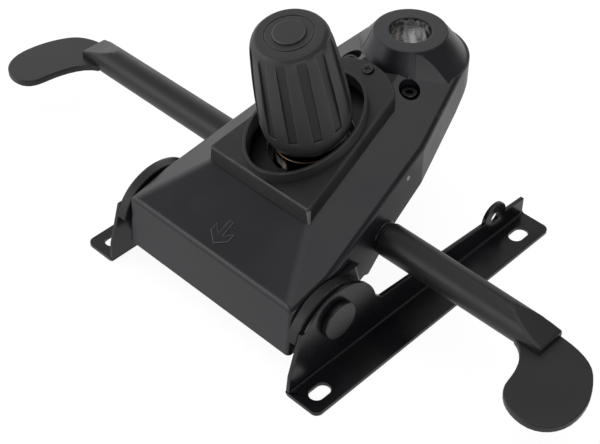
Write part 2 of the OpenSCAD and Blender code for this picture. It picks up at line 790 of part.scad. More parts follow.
// Flange with rounded free corners and two slots along the chair
module bracket_flange() {
    corner = 5;
    outer = bracket_half + flange_w;
    difference() {
        union() {
            translate([bracket_half, bracket_y + corner]) square([flange_w, bracket_len - 2 * corner]);
            translate([bracket_half, bracket_y]) square([flange_w - corner, bracket_len]);
            for (y = [bracket_y + corner, bracket_y + bracket_len - corner])
                translate([outer - corner, y]) circle(r = corner);
        }
        for (i = [0, 1]) translate([bracket_half + slot_out, bracket_y + slot_inset + i * slot_pitch]) {
            square([slot_w, slot_len - slot_w], center = true);
            for (end = [-1, 1]) translate([0, end * (slot_len - slot_w) / 2]) circle(r = slot_w / 2);
        }
    }
}

module bracket(side) {
    color("#232325") seat_frame() on_side(side) {
        plate_x(bracket_half, bracket_half + steel_t) bracket_side();
        linear_extrude(steel_t) bracket_flange();
    }
}
module left_bracket() { bracket(-1); }
module right_bracket() { bracket(1); }

// Spacer disc between bracket and housing, cut away at its low front end
module spacer(side) {
    color("#2f2f31") seat_frame() on_side(side) plate_x(housing_half_w + free_gap, bracket_half)
        translate([pivot_y, pivot_h]) difference() {
            translate([-1.3, -9.5]) circle(r = spacer_r);
            translate([-far - 20, -far - 2]) square(far);
            translate([-far, -far - 25]) square([2 * far, far]);
            circle(r = axle_r);
        }
}
module left_spacer() { spacer(-1); }
module right_spacer() { spacer(1); }

// Axle and its flat heads
module pivot_axle() {
    face = bracket_half + steel_t;
    color("#8f9196") seat_frame() bar_x(-face, face, pivot_y, pivot_h, axle_r);
}
module pivot_cap(side) {
    face = bracket_half + steel_t;
    color("#2c2c2e") seat_frame() on_side(side) bar_x(face, face + cap_t, pivot_y, pivot_h, cap_r);
}
module left_pivot_cap() { pivot_cap(-1); }
module right_pivot_cap() { pivot_cap(1); }

// Spring rocker: hub on the axle and an arm whose pad pushes the spring
rocker_half = 21;
rocker_hub_r = axle_r + 6;
module spring_rocker() {
    half_pad = 22.5;
    pad_front = [axis_y(pad_top) - half_pad * lean_cos, axis_z(pad_top) - half_pad * lean_sin];
    pad_rear = [axis_y(pad_top) + half_pad * lean_cos, axis_z(pad_top) + half_pad * lean_sin];
    under = [pad_t * lean_sin, -pad_t * lean_cos];
    color("#6d6f73") difference() {
        seat_frame() union() {
            bar_x(-rocker_half, rocker_half, pivot_y, pivot_h, rocker_hub_r);
            plate_x(-rocker_half, rocker_half)
                polygon([[pivot_y, pivot_h + rocker_hub_r - 3], pad_front, pad_rear, pad_rear + under,
                    pad_front + under, [pivot_y, pivot_h - rocker_hub_r + 3]]);
        }
        seat_frame() bar_x(-far, far, pivot_y, pivot_h, axle_r);
        knob_axis() translate([0, 0, pad_top - 20]) for (y = [-5, 5]) translate([0, y, 0])
            cylinder(r = bolt_r + 2, h = 40);
        knob_axis() translate([-bolt_r - 2, -5, pad_top - 20]) cube([2 * bolt_r + 4, 10, 40]);
        seat_frame() rocker_pin_set();
    }
}

// Roll pins that key the rocker and the comb to the axle
module rocker_pin_set() {
    for (x = [-rocker_half + 6, rocker_half - 6, -(latch_x0 + latch_x1) / 2])
        translate([x, pivot_y, pivot_h + axle_r]) cylinder(r = cross_pin_r, h = rocker_hub_r - axle_r);
}
module rocker_pins() {
    color("#9a9ca1") seat_frame() rocker_pin_set();
}

// Lock comb on the axle, with a notch for each end of the tilt
module lock_comb() {
    color("#7c7e83") seat_frame() difference() {
        plate_x(-latch_x1, -latch_x0) translate([pivot_y, pivot_h]) difference() {
            union() {
                circle(r = rocker_hub_r);
                intersection() {
                    circle(r = comb_r);
                    polygon([[0, 0], 2 * comb_r * [cos(lever_angle - 24), sin(lever_angle - 24)],
                        2 * comb_r * [cos(lever_angle + 12), sin(lever_angle + 12)]]);
                }
            }
            circle(r = axle_r);
            for (stop = [0, tilt_range]) rotate(lever_angle - stop)
                translate([notch_floor_r, -notch_w / 2]) square([20, notch_w]);
        }
        rocker_pin_set();
    }
}

// Washer between the rocker's pad and the spring
module spring_seat() {
    color("#84868a") knob_axis() tube(pad_top, pad_top + seat_t, spring_r + wire_r, bolt_r + 4);
}

// Tilt spring
spring_len = spring_space - seat_t;
module main_spring() {
    echo(main_spring_least_gap = coil_gap(spring_r, spring_len, wire_r, spring_turns));
    color("#4a4b4f") knob_axis() translate([0, 0, pad_top + seat_t])
        coil(spring_r, spring_len, wire_r, spring_turns);
}

// Cup over the spring's outer end
module spring_cup() {
    color("#8a7a55") knob_axis() difference() {
        translate([0, 0, cup_top - cup_t - cup_depth]) cylinder(r = cup_r, h = cup_t + cup_depth);
        translate([0, 0, cup_top - cup_t - cup_depth - 1]) cylinder(r = cup_r - 2, h = cup_depth + 1);
        translate([0, 0, cup_top - cup_t - 1]) cylinder(r = bolt_r + 0.3, h = cup_t + 2);
    }
}

module thrust_washer() {
    color("#b0a68c") knob_axis() tube(cup_top, cup_top + washer_t, washer_r, bolt_r + 0.3);
}

// Threaded insert of the knob: round flange below, hexagon body above
module knob_nut() {
    base = cup_top + washer_t;
    color("#a59f90") knob_axis() difference() {
        union() {
            translate([0, 0, base]) cylinder(r = nut_flange_r, h = nut_flange_t);
            translate([0, 0, base + nut_flange_t]) cylinder(r = nut_flats / sqrt(3), h = nut_len, $fn = 6);
        }
        translate([0, 0, base - 1]) cylinder(r = bolt_r + run_gap, h = nut_flange_t + nut_len + 2);
    }
}

// Tension knob: hollow fluted barrel with a hub round its insert
module tension_knob() {
    hub_r = 14;
    wall = 3.5;
    hub_base = cup_top + washer_t + nut_flange_t;
    belly = knob_base + 13;
    brow = knob_end - 11;
    end_r = knob_top_r - 5.5;
    side = curve_chain([
        [[knob_r - 3, knob_base], [knob_r - 1.2, knob_base + 2], [knob_r, knob_base + 7], [knob_r, belly]],
        [[knob_r, belly], [knob_r, belly + 20], [knob_top_r + 1.8, brow - 15.5], [knob_top_r, brow]],
        [[knob_top_r, brow], [knob_top_r - 0.6, knob_end - 6], [knob_top_r - 2, knob_end - 1],
            [end_r, knob_end]]], 6);
    flute_base = knob_base + flute_lift;
    flute_runout = 2;
    flute_end_r = knob_top_r - flute_runout;
    flute_tilt = atan((knob_r - flute_depth - flute_end_r) / (knob_end - flute_runout - flute_base));
    color("#29292b") knob_axis() difference() {
        union() {
            difference() {
                rotate_extrude() polygon(concat([[0, knob_base]], side, [[end_r, knob_end], [0, knob_end]]));
                translate([0, 0, knob_base - 1]) cylinder(r = knob_top_r - wall - 1.5, h = knob_h - 11);
            }
            translate([0, 0, hub_base]) cylinder(r = hub_r, h = knob_h - 5);
        }
        translate([0, 0, hub_base]) cylinder(r = nut_flats / sqrt(3), h = nut_len, $fn = 6);
        translate([0, 0, hub_base]) cylinder(r = bolt_r + 0.6, h = bolt_end + 10 - hub_base);
        translate([0, 0, knob_end - 2]) cylinder(r = knob_cap_r, h = 3);
        tube(knob_end - 0.5, knob_end + 1, 15.4, 14.7);
        for (i = [0 : flute_count - 1]) rotate([0, 0, i * 360 / flute_count])
            translate([knob_r - flute_depth, -flute_w / 2, flute_base]) rotate([0, -flute_tilt, 0])
                cube([10, flute_w, knob_h]);
    }
}

module knob_cap() {
    color("#2f2f31") knob_axis() translate([0, 0, knob_end - 2]) cylinder(r = knob_cap_r, h = 3.5);
}

// Lever rod: inner journal in the tub's ear, then the full rod out into the handle
module rod(side) {
    color("#8f9196") seat_frame() on_side(side) difference() {
        union() {
            bar_x(lug_in + 1, lug_out + 1, -lever_y, lever_h, journal_r);
            bar_x(lug_out + 0.5, handle_x + rod_depth, -lever_y, lever_h, rod_r);
        }
        rod_pin_place(side) cylinder(r = cross_pin_r, h = far, center = true);
    }
}
module left_rod() { rod(-1); }
module right_rod() { rod(1); }

// Where the cross pin goes that holds a cam on its rod
module rod_pin_place(side) {
    x = side < 0 ? (lock_cam_x0 + lock_cam_x1) / 2 : (cam_x0 + cam_x1) / 2;
    translate([x, -lever_y, lever_h]) children();
}
module rod_pin(side) {
    color("#9a9ca1") seat_frame() on_side(side) rod_pin_place(side)
        cylinder(r = cross_pin_r, h = 2 * cam_hub_r - 1, center = true);
}
module lock_cam_pin() { rod_pin(-1); }
module release_cam_pin() { rod_pin(1); }

// Circlip that keeps a rod from pulling out, against the inside of its bush
module circlip(side) {
    color("#5b5d61") seat_frame() on_side(side) difference() {
        bar_x(lever_inner_x - circlip_t, lever_inner_x, -lever_y, lever_h, rod_r + 2.2);
        bar_x(0, far, -lever_y, lever_h, rod_r);
    }
}
module left_circlip() { circlip(-1); }
module right_circlip() { circlip(1); }

// Twist handle: round tube, flat ramp, step and a flat paddle that turns forwards
// Paddle outline: outwards from the step, and forwards from the lever axis
function paddle_curves(out, ahead) = [
    [[-12, -10], [out - 35, -11], [out - 19, -8], [out - 12, 1]],
    [[out - 12, 1], [out - 5, 10], [out, ahead - 37], [out, ahead - 24]],
    [[out, ahead - 24], [out, ahead - 10], [out - 9, ahead], [out - 21, ahead]],
    [[out - 21, ahead], [out - 33, ahead], [-0.5, ahead - 7], [-1.5, ahead - 18]],
    [[-1.5, ahead - 18], [-3, ahead - 31], [-9, 11], [-24, 10]]];

module handle(side, reach, out, ahead) {
    ramp_angle = atan((handle_tip_r - step_h) / ramp_len);
    paddle_top = step_h - 4;
    color("#2a2a2c") seat_frame() on_side(side) translate([0, -lever_y, lever_h]) difference() {
        union() {
            difference() {
                translate([handle_x, 0, 0]) rotate([0, 90, 0])
                    cylinder(r1 = handle_r, r2 = handle_tip_r, h = reach - handle_x);
                translate([reach, -50, step_h]) rotate([0, ramp_angle, 0]) translate([-60, 0, 0])
                    cube([120, 100, 50]);
            }
            translate([reach, 0, paddle_top - paddle_t]) mirror([0, 1, 0]) linear_extrude(paddle_t)
                polygon(curve_chain(paddle_curves(out, ahead), 8));
        }
        bar_x(handle_x - 1, handle_x + rod_depth, 0, 0, rod_r);
    }
}
module left_handle() { handle(-1, left_reach, left_paddle_out, left_paddle_ahead); }
module right_handle() { handle(1, right_reach, right_paddle_out, right_paddle_ahead); }

// Lock frame: drawn at the lever axis with its first axis towards the tilt axle
module lock_frame() {
    translate([-lever_y, lever_h]) rotate(180 + lever_angle) children();
}

// Lock cam on the left rod, with a crank pin that reaches into the latch
module lock_cam() {
    pin_at = crank_pin_reach * [cos(90 + lock_swing / 2), sin(90 + lock_swing / 2)];
    color("#6d6f73") seat_frame() difference() {
        union() {
            plate_x(-lock_cam_x1, -lock_cam_x0) lock_frame() {
                circle(r = cam_hub_r);
                translate(pin_at) circle(r = 2 * cross_pin_r);
            }
            plate_x(-latch_x1 + 0.5, -lock_cam_x0) lock_frame() translate(pin_at) circle(r = cross_pin_r);
        }
        bar_x(-far, far, -lever_y, lever_h, rod_r);
        on_side(-1) rod_pin_place(-1) cylinder(r = cross_pin_r, h = far, center = true);
    }
}

// Lock latch: a plate that slides on the left rod, pushed by the crank pin into the comb
module lock_latch() {
    edge = 3;
    pin_slot = cross_pin_r + free_gap / 4;
    pin_low = crank_pin_reach * cos(lock_swing / 2);
    back = latch_travel + rod_r + edge;
    front = rod_r + edge;
    color("#7c7e83") seat_frame() plate_x(-latch_x1, -latch_x0) lock_frame() difference() {
        union() {
            translate([-back, -rod_r - edge])
                square([back + front, rod_r + 2 * edge + crank_pin_reach + cross_pin_r]);
            translate([0, -tooth_w / 2]) square([tooth_reach, tooth_w]);
        }
        for (a = [-latch_travel, 0]) translate([a, 0]) circle(r = rod_r + run_gap);
        translate([-latch_travel, -rod_r - run_gap]) square([latch_travel, 2 * (rod_r + run_gap)]);
        translate([-latch_travel / 2, 0]) {
            for (c = [pin_low, crank_pin_reach]) translate([0, c]) circle(r = pin_slot);
            translate([-pin_slot, pin_low]) square([2 * pin_slot, crank_pin_reach - pin_low]);
        }
    }
}

// Sleeve on the left rod between the latch and the circlip
module lock_sleeve() {
    color("#9a9ca1") seat_frame() difference() {
        bar_x(-lever_inner_x + circlip_t, -latch_x1 - free_gap, -lever_y, lever_h, rod_r + 2);
        bar_x(-far, far, -lever_y, lever_h, rod_r);
    }
}

// Release cam on the right rod: its finger points to the seat, just in front of the release arm
module release_cam() {
    color("#6d6f73") seat_frame() difference() {
        plate_x(cam_x0, cam_x1) translate([-lever_y, lever_h]) {
            circle(r = cam_hub_r);
            translate([-cam_t / 2, -cam_len]) square([cam_t, cam_len]);
        }
        bar_x(-far, far, -lever_y, lever_h, rod_r);
        rod_pin_place(1) cylinder(r = cross_pin_r, h = far, center = true);
    }
}

// Release shaft: it turns in the release bracket's cheeks
module release_pin() {
    color("#9a9ca1") seat_frame() bar_x(-cheek_x - cheek_t - 1, cam_x1, crank_y, crank_z, crank_pin_r);
}

// Release finger on the shaft's right end, which the release cam pushes to the rear
module release_finger() {
    tip_y = -lever_y + cam_t / 2 + push_gap;
    tip_z = lever_h - cam_len;
    color("#7c7e83") seat_frame() difference() {
        plate_x(cam_x0, cam_x1) {
            translate([crank_y, crank_z]) circle(r = crank_r);
            polygon([[crank_y - 4.5, crank_z + 3], [tip_y, tip_z + 5], [tip_y, tip_z], [tip_y + 4, tip_z],
                [crank_y + 4.5, crank_z - 3]]);
        }
        bar_x(-far, far, crank_y, crank_z, crank_pin_r);
        bar_x(-far, far, -lever_y, lever_h, cam_hub_r + push_gap);
    }
}

// Release arm on the shaft: its tongue reaches to the place under the gas lift's button
module release_arm() {
    color("#7c7e83") seat_frame() difference() {
        union() {
            bar_x(-cheek_x + free_gap, cheek_x - free_gap, crank_y, crank_z, crank_r);
            plate_x(-tongue_half, tongue_half) polygon([[crank_y, crank_z + tongue_root_up],
                [tongue_end, crank_z - tongue_tip_top], [tongue_end, crank_z - tongue_tip_top - tongue_tip_t],
                [crank_y, crank_z - tongue_root_down]]);
        }
        bar_x(-far, far, crank_y, crank_z, crank_pin_r);
    }
}

// Torsion spring round the right rod that returns the height lever
module release_spring() {
    spring_x = cam_x1 + free_gap;
    len = lever_inner_x - circlip_t - free_gap - spring_x;
    wire = 0.55;
    turns = 3;
    echo(release_spring_least_gap = coil_gap(rod_r + 1.6, len, wire, turns));
    color("#9a9ca1") seat_frame() translate([spring_x, -lever_y, lever_h]) rotate([0, 90, 0])
        coil(rod_r + 1.6, len, wire, turns);
}

housing();
knob_cover();
cover_screw();
socket_bolts();
release_bracket();
trunnion_pin();
tension_bolt();
left_axle_bush();
right_axle_bush();
left_lever_bush();
right_lever_bush();
left_bracket();
right_bracket();
left_spacer();
right_spacer();
pivot_axle();
left_pivot_cap();
right_pivot_cap();
spring_rocker();
lock_comb();
rocker_pins();
spring_seat();
main_spring();
spring_cup();
thrust_washer();
knob_nut();
tension_knob();
knob_cap();
left_rod();
left_handle();
lock_cam();
lock_cam_pin();
lock_latch();
lock_sleeve();
left_circlip();
right_rod();
right_handle();
release_cam();
release_cam_pin();
right_circlip();
release_pin();
release_finger();
release_arm();
release_spring();
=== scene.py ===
# Tilt mechanism of an office chair, standing upside down on its two seat flanges.
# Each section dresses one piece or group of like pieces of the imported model, in the order of assembly.
import json
import math

import bmesh
import bpy
from mathutils import Matrix, Vector

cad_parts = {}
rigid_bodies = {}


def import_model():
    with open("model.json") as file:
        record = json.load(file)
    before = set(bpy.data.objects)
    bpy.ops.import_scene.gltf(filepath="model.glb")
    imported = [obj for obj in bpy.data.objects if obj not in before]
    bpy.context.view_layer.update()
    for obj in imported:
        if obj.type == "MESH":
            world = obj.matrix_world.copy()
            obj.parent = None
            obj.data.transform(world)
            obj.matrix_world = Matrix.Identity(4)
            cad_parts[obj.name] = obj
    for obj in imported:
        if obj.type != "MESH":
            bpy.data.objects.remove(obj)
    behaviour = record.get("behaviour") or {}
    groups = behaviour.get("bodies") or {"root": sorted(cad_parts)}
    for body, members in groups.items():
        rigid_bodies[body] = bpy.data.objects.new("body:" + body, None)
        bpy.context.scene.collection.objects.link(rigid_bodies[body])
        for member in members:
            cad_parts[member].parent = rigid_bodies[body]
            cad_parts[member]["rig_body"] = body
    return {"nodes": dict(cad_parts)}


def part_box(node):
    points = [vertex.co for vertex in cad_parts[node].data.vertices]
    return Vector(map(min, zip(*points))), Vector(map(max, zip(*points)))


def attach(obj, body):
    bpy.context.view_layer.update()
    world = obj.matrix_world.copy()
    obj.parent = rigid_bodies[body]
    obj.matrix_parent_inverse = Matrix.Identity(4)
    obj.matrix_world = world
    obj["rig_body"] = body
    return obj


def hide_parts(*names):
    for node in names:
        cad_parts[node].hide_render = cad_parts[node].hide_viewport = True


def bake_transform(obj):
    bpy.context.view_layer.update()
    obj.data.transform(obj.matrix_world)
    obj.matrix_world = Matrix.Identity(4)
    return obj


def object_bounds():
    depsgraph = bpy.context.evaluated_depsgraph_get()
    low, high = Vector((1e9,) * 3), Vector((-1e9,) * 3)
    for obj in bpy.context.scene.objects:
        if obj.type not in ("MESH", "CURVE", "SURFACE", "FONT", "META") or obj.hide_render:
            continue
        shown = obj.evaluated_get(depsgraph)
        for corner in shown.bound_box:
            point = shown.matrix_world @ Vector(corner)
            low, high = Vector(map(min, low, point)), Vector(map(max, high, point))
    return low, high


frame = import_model()
cad_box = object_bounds()
mm = 0.001

# Studio
# A white table in a tent whose left wall is bright and whose right wall and roof are dim, with a broad
# soft lamp above, a faint one at the front and two low on the right. The camera stands where the
# photograph was taken, 0.9 m off and 43 degrees up.
scene = bpy.context.scene
scene.view_settings.view_transform = "Standard"

view_azimuth = math.radians(44.45)
view_elevation = math.radians(42.81)
camera_data = bpy.data.cameras.new("camera")
camera_data.sensor_width = 36
camera_data.lens = 82.81
camera = bpy.data.objects.new("camera", camera_data)
camera.location = (0.4709, -0.5831, 0.5202)
camera.rotation_euler = (math.pi / 2 - view_elevation, 0, view_azimuth)
scene.collection.objects.link(camera)
scene.camera = camera


class Wire:
    """An output of a shader node. Sums and products of wires add Math nodes to the same shader."""

    def __init__(self, shader, socket):
        self.shader = shader
        self.socket = socket

    def maths(self, operation, first, second):
        return self.shader.node("ShaderNodeMath", {"operation": operation}, {0: first, 1: second})

    def __add__(self, other):
        return self.maths("ADD", self, other)

    def __sub__(self, other):
        return self.maths("SUBTRACT", self, other)

    def __rsub__(self, other):
        return self.maths("SUBTRACT", other, self)

    def __mul__(self, other):
        return self.maths("MULTIPLY", self, other)

    def __abs__(self):
        return self.maths("ABSOLUTE", self, 0.0)

    __radd__ = __add__
    __rmul__ = __mul__

    def either(self, other):
        return self.maths("MAXIMUM", self, other)

    def spread(self, low, high, start=0.0, end=1.0):
        """This value from low to high, as a smooth rise or fall from start to end."""
        return self.shader.node("ShaderNodeMapRange", {"interpolation_type": "SMOOTHSTEP"},
                                {"Value": self, "From Min": low, "From Max": high,
                                 "To Min": start, "To Max": end})


class Shader:
    """The node tree of a material or of the world, and the one way in which nodes are added to it."""

    def __init__(self, owner):
        owner.use_nodes = True
        self.tree = owner.node_tree
        self.tree.nodes.clear()

    def node(self, kind, settings, inputs, output=0):
        made = self.tree.nodes.new(kind)
        for name, value in settings.items():
            setattr(made, name, value)
        for name, value in inputs.items():
            if isinstance(value, Wire):
                self.tree.links.new(value.socket, made.inputs[name])
            else:
                made.inputs[name].default_value = value
        return Wire(self, made.outputs[output]) if made.outputs else None

    def place(self):
        """Points of the piece itself, in metres."""
        return self.node("ShaderNodeTexCoord", {}, {}, "Object")

    def noise(self, grain, detail=3.0, place=None):
        """Soft blotches about one grain across, from 0 to 1."""
        return self.node("ShaderNodeTexNoise", {}, {"Vector": place or self.place(), "Scale": 1 / grain,
                                                    "Detail": detail})

    def mix(self, share, first, second):
        return self.node("ShaderNodeMix", {"data_type": "RGBA"}, {"Factor": share, 6: first, 7: second}, 2)


def grey(level, blue=0.0):
    """A neutral colour of that lightness, with a lean to blue, or to brown where blue is below 0."""
    return (level * (1 - 0.1 * blue), level, level * (1 + blue), 1.0)


tent_wall = 1.35
tent_roof = 0.42
tent_shade = 0.2
bright_side = (-0.76, -0.2, 0)
wall_top = 0.42
roof_start = 0.76
wall_edge = (-0.15, 0.45)
tent = bpy.data.worlds.new("tent")
scene.world = tent
air = Shader(tent)
skyward = air.node("ShaderNodeTexCoord", {}, {}, "Generated")
height = air.node("ShaderNodeSeparateXYZ", {}, {"Vector": skyward}, 2)
leftward = air.node("ShaderNodeVectorMath", {"operation": "DOT_PRODUCT"},
                    {0: skyward, 1: bright_side}, "Value")
bright = height.spread(wall_top, roof_start, tent_wall, tent_roof)
share = leftward.spread(*wall_edge)
glow = air.node("ShaderNodeBackground", {}, {"Color": grey(1.0),
                                             "Strength": share * bright + (1 - share) * tent_shade})
air.node("ShaderNodeOutputWorld", {}, {"Surface": glow})

table_size = 8.0
table_gap = 0.2 * mm
table_white = 1.15
mirrored_white = 0.8
white_share = 0.8
table_mesh = bpy.data.meshes.new("table")
half = table_size / 2
table_corners = [(-half, -half, 0), (half, -half, 0), (half, half, 0), (-half, half, 0)]
table_mesh.from_pydata(table_corners, [], [(0, 1, 2, 3)])
table = bpy.data.objects.new("table", table_mesh)
table.location.z = cad_box[0].z - table_gap
scene.collection.objects.link(table)
table_paint = bpy.data.materials.new("table_white")
table_mesh.materials.append(table_paint)
sheet = Shader(table_paint)
seen = sheet.node("ShaderNodeLightPath", {}, {}, "Is Camera Ray")
mirrored = sheet.node("ShaderNodeLightPath", {}, {}, "Is Glossy Ray")
lit = sheet.node("ShaderNodeBsdfDiffuse", {}, {"Color": grey(0.9)})
shine = sheet.node("ShaderNodeEmission", {}, {"Color": grey(1.0),
                                              "Strength": seen * table_white + mirrored * mirrored_white})
soft = sheet.node("ShaderNodeMixShader", {}, {"Fac": seen.either(mirrored) * white_share, 1: lit, 2: shine})
sheet.node("ShaderNodeOutputMaterial", {}, {"Surface": soft})


def soft_lamp(name, place, aim, width, height, watts):
    """A flat square-cornered lamp that faces a point."""
    data = bpy.data.lights.new(name, "AREA")
    data.shape = "RECTANGLE"
    data.size = width
    data.size_y = height
    data.energy = watts
    lamp = bpy.data.objects.new(name, data)
    lamp.location = place
    lamp.rotation_euler = (Vector(aim) - Vector(place)).to_track_quat("-Z", "Y").to_euler()
    lamp.visible_camera = False
    scene.collection.objects.link(lamp)


soft_lamp("overhead_lamp", place=(0.15, -0.05, 1.5), aim=(0.15, -0.05, 0), width=1.2, height=2.0, watts=7.4)
soft_lamp("front_lamp", place=(-0.7, -1.3, 0.55), aim=(0.1, -0.1, -0.05), width=0.7, height=0.5, watts=1.2)
soft_lamp("side_lamp", place=(1.5, 0.25, 0.02), aim=(0, 0, 0), width=0.34, height=0.22, watts=1.5)
soft_lamp("low_lamp", place=(1.1, -0.75, 0.04), aim=(0, -0.1, 0), width=0.9, height=0.2, watts=2.0)

# Housing
# The mechanism's body, a die casting with 4 mm walls in satin black paint. Its outer edges are well
# rounded, the gas-lift socket's bore is turned bright, and a raised arrow whose edges carry a painted
# highlight points to the chair's front.
weld_gap = 0.002 * mm
same_plane = math.radians(0.4)


def welded(node):
    """A node's mesh, joined up along its seams and with each flat face made one."""
    bm = bmesh.new()
    bm.from_mesh(frame["nodes"][node].data)
    bmesh.ops.remove_doubles(bm, verts=bm.verts, dist=weld_gap)
    bmesh.ops.dissolve_limit(bm, angle_limit=same_plane, verts=bm.verts, edges=bm.edges)
    return bm


def bend(edge):
    """How far an edge turns, in degrees: above 0 outwards, below 0 into a corner."""
    return math.degrees(edge.calc_face_angle_signed()) if edge.is_manifold else 0.0


def middle(edge):
    """The point half way along an edge."""
    return (edge.verts[0].co + edge.verts[1].co) / 2


def off_line(point, through, along):
    """Distance of a point from a straight line."""
    return (point - Vector(through)).cross(Vector(along).normalized()).length


def rounded(bm, radius, pick, steps=3, wear_and_highlight_level=1.0):
    """Rounds every edge that pick chooses, and marks the round with a level that the finishes show as wear,
    as a painted highlight on plastic edges, and above 1.2 as a brighter painted highlight.
    """
    wear_and_highlight = bm.faces.layers.float.get("wear_and_highlight") or bm.faces.layers.float.new("wear_and_highlight")
    edges = [e for e in bm.edges if e.is_manifold and pick(e)]
    made = bmesh.ops.bevel(bm, geom=edges, offset=radius, offset_type="OFFSET", segments=steps,
                           profile=0.5, affect="EDGES", clamp_overlap=False, loop_slide=False)
    for face in made["faces"]:
        face[wear_and_highlight] = wear_and_highlight_level


def settled(bm, name, node, finish, flat_turn=32, flat_area=1.0):
    """A finished piece that stands for a node: smooth over small turns, and carried by the node's body.
    Faces above flat_area, in square metres, are planes and shade as such."""
    bmesh.ops.recalc_face_normals(bm, faces=bm.faces)
    for face in bm.faces:
        face.smooth = face.calc_area() < flat_area
    for edge in bm.edges:
        edge.smooth = abs(bend(edge)) < flat_turn
    mesh = bpy.data.meshes.new(name)
    bm.to_mesh(mesh)
    bm.free()
    for material in finish:
        mesh.materials.append(material)
    piece = bpy.data.objects.new(name, mesh)
    scene.collection.objects.link(piece)
    normals = piece.modifiers.new("even_shading", "WEIGHTED_NORMAL")
    normals.keep_sharp = True
    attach(piece, frame["nodes"][node]["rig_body"])
    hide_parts(node)


def satin_paint(name, level, dull, peel, dust, chip=None):
    """Satin black paint: faint blotches, orange peel, dust, wear on rounded edges, a painted highlight on
    edges marked above 1.2, and a chip if asked.
    """
    material = bpy.data.materials.new(name)
    paint = Shader(material)
    blotch = paint.noise(45 * mm, 2.0)
    fine = paint.noise(1.4 * mm, 2.0)
    speck = paint.node("ShaderNodeTexVoronoi", {}, {"Vector": paint.place(), "Scale": 1 / (9 * mm)})
    speck = speck.spread(0.02, 0.035, 1.0, 0.0) * paint.noise(60 * mm, 1.0).spread(0.5, 0.62)
    wear_and_highlight_level = paint.node("ShaderNodeAttribute", {"attribute_name": "wear_and_highlight"}, {}, "Fac")
    # Patchy lighter wear on marked rounds, which on the arrow's high mark is painted highlight as well.
    scuff_and_highlight = wear_and_highlight_level * paint.noise(9 * mm, 4.0).spread(0.62, 0.74)
    tone = paint.mix(blotch.spread(0.3, 0.7), grey(level * 0.86, 0.3), grey(level * 1.15, 0.4))
    tone = paint.mix(scuff_and_highlight * 0.35, tone, grey(0.11))
    # A painted highlight: rounds marked above 1.2, the arrow's edges, turn pale grey.
    tone = paint.mix(wear_and_highlight_level.spread(1.2, 4.0) * 0.7, tone, grey(0.16))
    tone = paint.mix(speck * dust, tone, grey(0.4))
    if chip:
        off_chip = paint.node("ShaderNodeVectorMath", {"operation": "DISTANCE"},
                              {0: paint.place(), 1: chip}, "Value")
        bared = (off_chip + fine * 1.6 * mm).spread(2.4 * mm, 2.8 * mm, 1.0, 0.0)
        tone = paint.mix(bared, tone, grey(0.45, -0.05))
    rough = blotch.spread(0.3, 0.7, dull - 0.04, dull + 0.05) + fine * 0.04 + speck * 0.2
    skin = paint.node("ShaderNodeBump", {}, {"Strength": peel, "Distance": 0.05 * mm, "Height": fine})
    shell = paint.node("ShaderNodeBsdfPrincipled", {}, {"Base Color": tone, "Roughness": rough,
                                                        "Normal": skin})
    paint.node("ShaderNodeOutputMaterial", {}, {"Surface": shell})
    return material


def bare_metal(name, tone, dark, rough, grain, along=(1, 1, 1)):
    """Bare or plated metal with fine tool marks, drawn out where a number of along is below 1."""
    material = bpy.data.materials.new(name)
    steel = Shader(material)
    drawn = steel.node("ShaderNodeVectorMath", {"operation": "MULTIPLY"}, {0: steel.place(), 1: along})
    marks = steel.noise(grain, 4.0, drawn)
    stain = steel.noise(12 * mm, 3.0).spread(0.45, 0.7)
    colour = steel.mix(stain * 0.6 + marks * 0.3, tone, dark)
    polish = marks.spread(0.3, 0.7, rough - 0.08, rough + 0.1)
    skin = steel.node("ShaderNodeBump", {}, {"Strength": 0.15, "Distance": 0.05 * mm, "Height": marks})
    shell = steel.node("ShaderNodeBsdfPrincipled", {}, {"Base Color": colour, "Roughness": polish,
                                                        "Metallic": 1.0, "Normal": skin})
    steel.node("ShaderNodeOutputMaterial", {}, {"Surface": shell})
    return material


chip_spot = (59.8 * mm, -66.4 * mm, -50.6 * mm)
casting_paint = satin_paint("casting_paint", level=0.0105, dull=0.29, peel=0.1, dust=0.3, chip=chip_spot)


def smeared_bore(name, mouth, slant):
    """Turned steel with fine rings, spots of paint below the mouth and one slanting smear."""
    material = bpy.data.materials.new(name)
    steel = Shader(material)
    place = steel.place()
    across, deep, down = (steel.node("ShaderNodeSeparateXYZ", {}, {"Vector": place}, k) for k in range(3))
    drawn_round = steel.node("ShaderNodeVectorMath", {"operation": "MULTIPLY"},
                             {0: place, 1: (0.08, 0.08, 1)})
    rings = steel.noise(0.7 * mm, 2.0, drawn_round)
    blot = steel.noise(5 * mm, 5.0)
    depth = mouth - down
    rim_spots = depth.spread(2 * mm, 9 * mm, 1.0, 0.0) * blot.spread(0.46, 0.54)
    off_smear = abs(across - slant * depth + 1.5 * mm)
    smear = off_smear.spread(1.2 * mm, 2.6 * mm, 1.0, 0.0) * blot.spread(0.36, 0.5)
    low_spots = depth.spread(16 * mm, 26 * mm) * blot.spread(0.5, 0.56)
    soil = rim_spots.either(smear).either(low_spots)
    tone = steel.mix(rings.spread(0.3, 0.7), grey(0.62), grey(0.9))
    brown_side = deep.spread(-4 * mm, 14 * mm) * across.spread(-6 * mm, 12 * mm)
    tone = steel.mix(brown_side * 0.5, tone, (0.7, 0.58, 0.5, 1))
    tone = steel.mix(soil * 0.92, tone, grey(0.03))
    polish = rings.spread(0.3, 0.7, 0.16, 0.28) + soil * 0.25
    shell = steel.node("ShaderNodeBsdfPrincipled", {}, {"Base Color": tone, "Roughness": polish,
                                                        "Metallic": 1.0})
    steel.node("ShaderNodeOutputMaterial", {}, {"Surface": shell})
    return material


